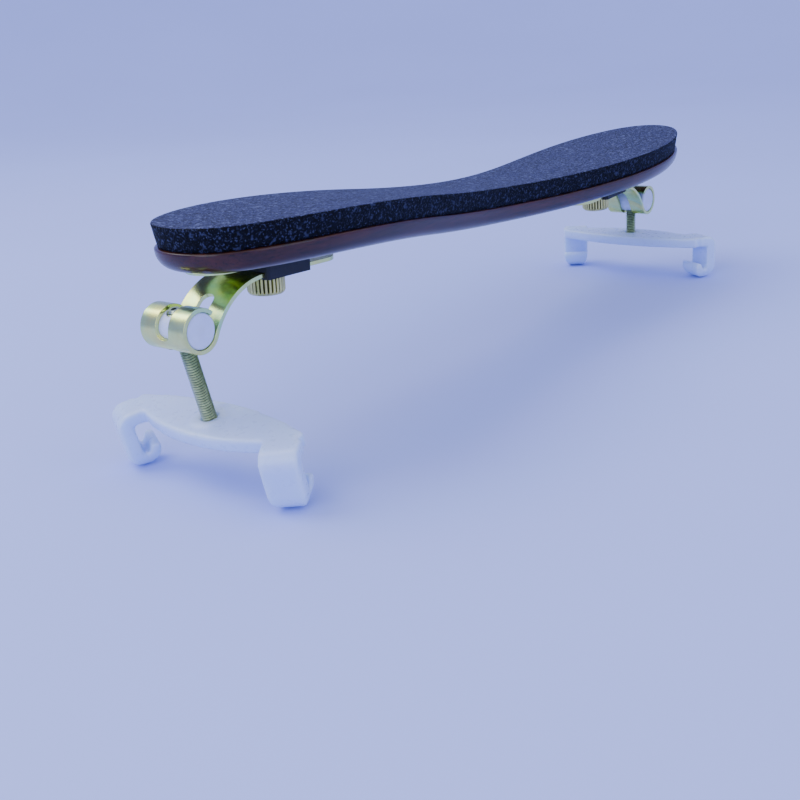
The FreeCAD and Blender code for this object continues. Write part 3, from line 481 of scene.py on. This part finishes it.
def clear_plastic(looks):
    """Milky bluish moulded plastic, soft and glossy."""
    look = Look("clear_plastic", Subsurface_Weight=0.85, Subsurface_Scale=0.0035,
                Subsurface_Radius=(0.75, 0.9, 1.0), IOR=1.48, Specular_IOR_Level=0.45)
    tone = look.noise(60, 3, 0.5, 0.5)
    look.colour(look.ramp(tone, (0.3, [c * 0.92 for c in looks.foot]), (0.7, looks.foot)))
    look.rough(look.noise(700, 3), 0.22, 0.36)
    look.bump([(look.noise(350, 3), 0.03, 0.0001), (look.noise(2200, 2), 0.05, 0.00003)])
    return look.material


# ---------------------------------------------------------------- threads and knobs

def thread_rings(bm, place, radius, depth, pitch, low, high, around=40):
    """A helical thread between two heights, its root faces in the second material, which carries
    painted shade.
    """
    turns = int(math.ceil((high - low) / pitch)) + 2
    rows = []
    for i in range(turns * THREAD_STEPS + 1):
        phase = (i % THREAD_STEPS) / THREAD_STEPS
        dip = 0.5 + 0.5 * math.cos(2 * math.pi * phase)
        groove = depth * dip ** 0.9
        row = []
        for j in range(around + 1):
            level = low - pitch + pitch * (i / THREAD_STEPS + j / around)
            level = min(max(level, low), high)
            near_end = min(1.0, max(0.0, (high - level) / THREAD_RUN_OUT))
            out = radius - depth + (depth - groove) * near_end
            turn = 2 * math.pi * j / around
            row.append(bm.verts.new(place @ (Vector((
                out * math.cos(turn), out * math.sin(turn), level)) * MM)))
        rows.append(row)
    for i, (lower, upper) in enumerate(zip(rows, rows[1:])):
        for j in range(around):
            face = bm.faces.new((lower[j], lower[j + 1], upper[j + 1], upper[j]))
            # the faces next to each root take the painted groove shade
            face.material_index = int(i % THREAD_STEPS in (0, THREAD_STEPS - 1))


def lathe(bm, place, profile, around=64, ripple=None, shade=None):
    """Turn a profile of (radius, height) in mm about the frame's axis; ends close to points.

    The ripple sinks a ring's point by its turn; the shade picks a face's material the same way.
    """
    rings = []
    for number, (radius, level) in enumerate(profile):
        ring = []
        for k in range(around):
            turn = 2 * math.pi * k / around
            out = radius - (ripple(number, turn) if ripple else 0.0)
            ring.append(place @ (Vector((out * math.cos(turn), out * math.sin(turn), level)) * MM))
        rings.append(ring)
    rows = add_rings(bm, rings, shade=shade)
    cap(bm, rows[0], place @ Vector((0, 0, profile[0][1] * MM)))
    cap(bm, rows[-1], place @ Vector((0, 0, profile[-1][1] * MM)))


# ---------------------------------------------------------------- settings

class PlateSettings(bpy.types.PropertyGroup):
    # The top colour is partly the foam skin's own and partly painted light.
    top: FloatVectorProperty(
        name="Foam top", description="Colour of the foam's upper face", subtype="COLOR",
        default=(0.029, 0.032, 0.092), min=0, max=1)
    # The side colour is partly the cut foam's own and partly painted shade.
    side: FloatVectorProperty(
        name="Foam sides", description="Colour of the foam's cut sides", subtype="COLOR",
        default=(0.0022, 0.0025, 0.0065), min=0, max=1)
    # The specks stand in for glints off the foam's cells: painted highlights.
    glint_speck: FloatVectorProperty(
        name="Foam speckle", description="Colour of the fine specks", subtype="COLOR",
        default=(0.13, 0.15, 0.30), min=0, max=1)
    wood: FloatVectorProperty(
        name="Wood", description="Colour of the stained maple", subtype="COLOR",
        default=(0.045, 0.0085, 0.0035), min=0, max=1)
    taper: FloatProperty(
        name="Foam taper", description="How far the foam's sides lean in at the wood",
        default=0.0008, min=0, max=0.002, subtype="DISTANCE", unit="LENGTH")


class MetalSettings(bpy.types.PropertyGroup):
    zinc: FloatVectorProperty(
        name="Zinc", description="Main colour of the plated strip", subtype="COLOR",
        default=(0.76, 0.90, 0.32), min=0, max=1)
    zinc_cool: FloatVectorProperty(
        name="Zinc, cool", description="Greenish passivation", subtype="COLOR",
        default=(0.46, 0.84, 0.44), min=0, max=1)
    zinc_warm: FloatVectorProperty(
        name="Zinc, warm", description="Yellow passivation", subtype="COLOR",
        default=(0.92, 0.88, 0.26), min=0, max=1)
    brass: FloatVectorProperty(
        name="Brass", description="Colour of the knob", subtype="COLOR",
        default=(0.78, 0.74, 0.27), min=0, max=1)
    steel: FloatVectorProperty(
        name="Steel", description="Colour of the threads", subtype="COLOR",
        default=(0.60, 0.70, 0.44), min=0, max=1)
    flutes: IntProperty(
        name="Knob flutes", description="Grooves round the thumb screw", default=28,
        min=12, max=60)
    post_pitch: FloatProperty(
        name="Post pitch", description="Rise of the post's thread in one turn",
        default=0.0006, min=0.0004, max=0.001, subtype="DISTANCE", unit="LENGTH")


class FootSettings(bpy.types.PropertyGroup):
    foot: FloatVectorProperty(
        name="Foot", description="Colour of the milky plastic", subtype="COLOR",
        default=(0.58, 0.69, 0.97), min=0, max=1)
    nylon: FloatVectorProperty(
        name="Nylon", description="Colour of the barrel insert", subtype="COLOR",
        default=(0.66, 0.73, 0.98), min=0, max=1)
    voxel: FloatProperty(
        name="Foot detail", description="Size of the foot's surface cells",
        default=0.00035, min=0.0002, max=0.001, subtype="DISTANCE", unit="LENGTH")
    smoothing: IntProperty(
        name="Foot rounding", description="Passes that soften the foot's edges",
        default=26, min=0, max=60)


class StageSettings(bpy.types.PropertyGroup):
    floor: FloatVectorProperty(
        name="Floor", description="Colour of the plain floor", subtype="COLOR",
        default=(0.46, 0.53, 1.0), min=0, max=1)
    place: FloatVectorProperty(
        name="Camera place", description="Where the camera stands", subtype="TRANSLATION",
        unit="LENGTH", default=(-0.2482, -0.1708, 0.0970))
    yaw: FloatProperty(
        name="Camera turn", description="Angle of the view from +X", subtype="ANGLE",
        unit="ROTATION", default=math.radians(39.32))
    pitch: FloatProperty(
        name="Camera fall", description="How far the view looks down", subtype="ANGLE",
        unit="ROTATION", default=math.radians(20.38))
    roll: FloatProperty(
        name="Camera roll", description="Turn of the picture about its middle",
        subtype="ANGLE", unit="ROTATION", default=math.radians(-4.44))
    lens: FloatProperty(
        name="Lens", description="Focal length in millimetres", default=48.0, min=10, max=200)


# ---------------------------------------------------------------- operators

class REST_OT_plate(bpy.types.Operator):
    """Build the foam pad and the lacquered wooden plate"""
    bl_idname = "rest.plate"
    bl_label = "Pad and Plate"

    def execute(self, context):
        looks = context.scene.rest_plate
        taper = looks.taper / MM
        core = (0.04, 0.15, 0.35, 0.6, 0.85, 1.0)
        foam = bmesh.new()
        # the third column gives the lit top material (0) and the painted-shade side material (1)
        plate_shell(foam, [(0.9, 0.0, 0), (0.40, 0.02, 0), (0.12, 0.12, 0), (0.02, 0.38, 1),
                           (0.06 + taper * 0.2, 1.4, 1), (taper * 0.5, 2.8, 1),
                           (taper * 0.8, 4.2, 1), (taper, 5.18, 1),
                           (taper + 0.15, FOAM_DEPTH, 1)], core)
        pad = show("foam_cushion", foam, "plate",
                   [foam_skin_lit_top(looks), foam_cut_shaded_side(looks)], 60)
        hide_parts("foam_pad")
        wood = bmesh.new()
        rim = FOAM_DEPTH + HULL_START
        profile = [(0.9, FOAM_DEPTH, 0), (0.35, FOAM_DEPTH + 0.03, 0),
                   (0.10, FOAM_DEPTH + 0.14, 0), (0.0, FOAM_DEPTH + 0.38, 0), (0.0, rim, 0)]
        for step in range(1, HULL_STEPS + 1):
            turn = math.radians(90 * step / HULL_STEPS)
            depth = rim + (WOOD_DEPTH - rim) * math.sin(turn)
            profile.append((HULL_WIDTH * (1 - math.cos(turn)), depth, 0))
        plate_shell(wood, profile, core)
        plate = show("maple_plate", wood, "plate",
                     [lacquered_maple(looks)], 60)
        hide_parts("wood_plate")
        return {"FINISHED"}


class REST_OT_hardware(bpy.types.Operator):
    """Finish the arms, base plates, washers, guide blocks and small screws"""
    bl_idname = "rest.hardware"
    bl_label = "Arms and Blocks"

    def execute(self, context):
        looks = context.scene.rest_metal
        zinc = zinc_plating(looks)
        black = moulded_black()
        steel = plated_steel(looks)
        brass = turned_brass(looks)
        for end in ENDS:
            for piece in ("arm", "base_plate", "thumb_washer"):
                paint("%s_%s" % (end, piece), zinc)
            paint("%s_slide_block" % end, black)
            paint("%s_wood_screws" % end, steel)
            paint("%s_clamp_nut" % end, brass)
        return {"FINISHED"}


class REST_OT_knobs(bpy.types.Operator):
    """Build the knurled thumb screws"""
    bl_idname = "rest.knobs"
    bl_label = "Thumb Screws"

    def execute(self, context):
        looks = context.scene.rest_metal
        brass = turned_brass(looks)
        # painted shade for the flute bottoms
        groove = groove_painted_shade(looks.brass)
        flutes = looks.flutes
        for end in ENDS:
            place = end_frame(end, "thumb_turn")
            low = HEAD_LOW
            high = low + HEAD_HEIGHT
            profile = [(3.2, low + 0.12), (3.55, low + 0.02), (3.85, low + 0.10),
                       (4.12, low + 0.38), (4.20, low + 0.62), (4.33, low + 0.80),
                       (4.35, low + 1.1), (4.35, high - 0.75), (4.33, high - 0.5),
                       (4.12, high - 0.2), (3.9, high - 0.02), (2.6, high), (1.9, high)]

            def ripple(number, turn):
                if not 5 <= number <= 8:
                    return 0.0
                wave = max(0.0, math.cos(flutes * turn) + 0.15)
                return FLUTE_DEPTH * wave

            # faces deep in the flutes take the painted groove shade
            def shade(number, turn):
                return int(5 <= number <= 7 and math.cos(flutes * turn) > 0.35)

            bm = bmesh.new()
            lathe(bm, place, profile, flutes * 12, ripple, shade)
            thread_rings(bm, place, SHANK_RADIUS, SHANK_THREAD, SHANK_PITCH, high - 0.1,
                         SHANK_TOP)
            core = SHANK_RADIUS - SHANK_THREAD + 0.01
            lathe(bm, place, [(core, high - 0.1), (core, SHANK_TOP), (1.3, SHANK_TOP + 0.2)], 32)
            knob = show("%s_knob" % end, bm, "%s_thumb" % end, [brass, groove], 35)
            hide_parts("%s_thumb_screw" % end)
        return {"FINISHED"}


class REST_OT_posts(bpy.types.Operator):
    """Build the threaded posts and finish the nylon inserts"""
    bl_idname = "rest.posts"
    bl_label = "Posts and Inserts"

    def execute(self, context):
        steel = plated_steel(context.scene.rest_metal)
        # painted shade for the thread roots and the hole at the tip
        groove = groove_painted_shade(context.scene.rest_metal.steel)
        nylon = white_nylon(context.scene.rest_foot)
        pitch = context.scene.rest_metal.post_pitch / MM
        for end in ENDS:
            paint("%s_barrel_insert" % end, nylon)
            place = end_frame(end, "foot_turn")
            fold = Vector(joint("%s_fold" % end)["pos_m"])
            rise = (place.inverted() @ fold).z / MM
            tip = rise + POST_RISE
            bm = bmesh.new()
            thread_rings(bm, place, POST_RADIUS, POST_THREAD, pitch, POST_HEAD_TOP, tip - 0.25)
            core = POST_RADIUS - POST_THREAD
            # the walls of the hole at the tip take the painted groove shade
            lathe(bm, place, [(POST_HEAD_RADIUS, 0.10), (POST_HEAD_RADIUS, POST_HEAD_TOP),
                              (core, POST_HEAD_TOP), (core, tip - 0.3), (1.15, tip),
                              (0.6, tip), (0.6, tip - 0.7)], 40,
                  shade=lambda number, turn: int(number >= 5))
            post = show("%s_threaded_post" % end, bm, "%s_post" % end,
                        [steel, groove], 35)
            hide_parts("%s_post" % end)
        return {"FINISHED"}


class REST_OT_feet(bpy.types.Operator):
    """Build the soft-edged clawed feet"""
    bl_idname = "rest.feet"
    bl_label = "Feet"

    def execute(self, context):
        looks = context.scene.rest_foot
        plastic = clear_plastic(looks)
        for end in ENDS:
            node = frame["nodes"]["%s_foot" % end]
            place = end_frame(end, "foot_turn")
            facing = -1 if end == "chest" else 1
            mesh = self.softened(node, looks)
            self.round_claws(mesh, place, facing)
            bm = bmesh.new()
            bm.from_mesh(mesh)
            bpy.data.meshes.remove(mesh)
            foot = show("%s_claw_foot" % end, bm, "%s_foot" % end,
                        [plastic], 180)
            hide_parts(node.name)
        return {"FINISHED"}

    def softened(self, node, looks):
        """A finely divided copy of the foot with its edges rounded over."""
        copy = bpy.data.objects.new("foot_draft", node.data.copy())
        bpy.context.scene.collection.objects.link(copy)
        remesh = copy.modifiers.new("cells", "REMESH")
        remesh.mode = "VOXEL"
        remesh.voxel_size = looks.voxel
        smooth = copy.modifiers.new("rounding", "SMOOTH")
        smooth.iterations = looks.smoothing
        smooth.factor = 0.5
        shown = copy.evaluated_get(bpy.context.evaluated_depsgraph_get())
        mesh = bpy.data.meshes.new_from_object(shown)
        bpy.data.objects.remove(copy)
        if len(mesh.vertices) < 1000:
            raise RuntimeError("the foot has too few surface cells")
        return mesh

    def round_claws(self, mesh, place, facing):
        """Pull the lower corners of each claw in, so that it ends like a tongue."""
        back = place.inverted()
        for vertex in mesh.vertices:
            spot = back @ vertex.co / MM
            local = Vector((spot.x * facing, spot.y, spot.z))
            if local.z > CLAW_TOP or abs(local.y) < CLAW_INSIDE:
                continue
            side = 1 if local.y > 0 else -1
            inward = Vector((-math.cos(CLAW_SPLAY), -side * math.sin(CLAW_SPLAY)))
            across = Vector((-inward.y, inward.x))
            from_root = local.xy - Vector((CLAW_ROOT[0], side * CLAW_ROOT[1]))
            wide = from_root.dot(across)
            fall = min(max((-local.z - LOBE_TOP) / LOBE_HEIGHT, 0.0), 1.0)
            narrow = math.sqrt(1 - fall ** 2) * (1 - LOBE_TIP) + LOBE_TIP
            shift = across * (wide * narrow - wide)
            moved = Vector(((local.x + shift.x) * facing, local.y + shift.y, local.z))
            vertex.co = place @ (moved * MM)


class REST_OT_stage(bpy.types.Operator):
    """Make the floor, the soft light and the camera"""
    bl_idname = "rest.stage"
    bl_label = "Stage"

    def execute(self, context):
        looks = context.scene.rest_stage
        self.floor(looks)
        self.light()
        self.camera(looks)
        return {"FINISHED"}

    def floor(self, looks):
        """A round floor that rises softly into the background."""
        low = Vector(CAD_BOX[0])
        rings = []
        for reach in FLOOR_RINGS:
            lift = FLOOR_RISE * max(0.0, reach - FLOOR_FLAT) ** 2
            rings.append([Vector((reach * math.cos(math.pi * k / 48),
                                  reach * math.sin(math.pi * k / 48), lift)) for k in range(96)])
        bm = bmesh.new()
        rows = add_rings(bm, rings)
        cap(bm, rows[0], Vector((0, 0, 0)))
        bmesh.ops.recalc_face_normals(bm, faces=bm.faces)
        mesh = bpy.data.meshes.new("floor")
        bm.to_mesh(mesh)
        bm.free()
        mesh.shade_smooth()
        floor = bpy.data.objects.new("floor", mesh)
        floor.location = (0, 0, low.z - FLOOR_GAP)
        bpy.context.scene.collection.objects.link(floor)
        look = Look("floor", Roughness=0.8, Specular_IOR_Level=0.2)
        tone = look.noise(6, 2)
        look.colour(look.ramp(tone, (0.3, [c * 0.97 for c in looks.floor]), (0.7, looks.floor)))
        mesh.materials.append(look.material)

    def light(self):
        """A pale even room with three soft lamps aimed at the part."""
        world = bpy.data.worlds.new("soft_room")
        bpy.context.scene.world = world
        world.use_nodes = True
        sky = world.node_tree.nodes["Background"]
        sky.inputs["Color"].default_value = (0.70, 0.76, 1.0, 1)
        sky.inputs["Strength"].default_value = 1.25
        lamps = (("key", (-0.25, 0.45, 0.75), 0.55, 4.2, (0.95, 0.97, 1.0)),
                 ("side", (-0.75, -0.15, 0.35), 0.5, 2.2, (0.93, 0.96, 1.0)),
                 ("front", (0.15, -0.8, 0.35), 0.6, 1.3, (0.95, 0.96, 1.0)))
        for name, place, width, power, colour in lamps:
            data = bpy.data.lights.new(name, "AREA")
            data.shape = "SQUARE"
            data.size = width
            data.energy = power
            data.color = colour
            lamp = bpy.data.objects.new(name, data)
            lamp.location = place
            aim = Vector((0, 0, 0.03)) - Vector(place)
            lamp.rotation_euler = aim.to_track_quat("-Z", "Y").to_euler()
            bpy.context.scene.collection.objects.link(lamp)

    def camera(self, looks):
        """The camera, turned, tipped and rolled in that order."""
        data = bpy.data.cameras.new("camera")
        data.lens = looks.lens
        data.sensor_width = 36
        data.clip_start = 0.005
        camera = bpy.data.objects.new("camera", data)
        yaw, fall = looks.yaw, looks.pitch
        ahead = Vector((math.cos(fall) * math.cos(yaw), math.cos(fall) * math.sin(yaw),
                        -math.sin(fall)))
        right = ahead.cross(Vector((0, 0, 1))).normalized()
        up = right.cross(ahead)
        turn = Matrix.Rotation(-looks.roll, 3, ahead)
        right, up = turn @ right, turn @ up
        facing = Matrix((right, up, -ahead)).transposed().to_4x4()
        camera.matrix_world = Matrix.Translation(Vector(looks.place)) @ facing
        bpy.context.scene.collection.objects.link(camera)
        bpy.context.scene.camera = camera


class REST_PT_panel(bpy.types.Panel):
    """Lists the settings and the pieces"""
    bl_idname = "REST_PT_panel"
    bl_label = "Shoulder Rest"
    bl_space_type = "VIEW_3D"
    bl_region_type = "UI"
    bl_category = "Shoulder Rest"

    def draw(self, context):
        for group in (context.scene.rest_plate, context.scene.rest_metal,
                      context.scene.rest_foot, context.scene.rest_stage):
            box = self.layout.box()
            for name in group.bl_rna.properties.keys():
                if name not in ("rna_type", "name"):
                    box.prop(group, name)
        for operator in OPERATORS:
            self.layout.operator(operator.bl_idname)


SETTINGS = (("rest_plate", PlateSettings), ("rest_metal", MetalSettings),
            ("rest_foot", FootSettings), ("rest_stage", StageSettings))
OPERATORS = (REST_OT_plate, REST_OT_hardware, REST_OT_knobs, REST_OT_posts, REST_OT_feet,
             REST_OT_stage)


def register():
    for name, group in SETTINGS:
        bpy.utils.register_class(group)
        setattr(bpy.types.Scene, name, PointerProperty(type=group))
    for item in OPERATORS + (REST_PT_panel,):
        bpy.utils.register_class(item)


def unregister():
    for item in reversed(OPERATORS + (REST_PT_panel,)):
        bpy.utils.unregister_class(item)
    for name, group in reversed(SETTINGS):
        delattr(bpy.types.Scene, name)
        bpy.utils.unregister_class(group)


def main():
    """Build every piece."""
    register()
    for name in ("plate", "hardware", "knobs", "posts", "feet", "stage"):
        getattr(bpy.ops.rest, name)()


if __name__ == "__main__":
    main()
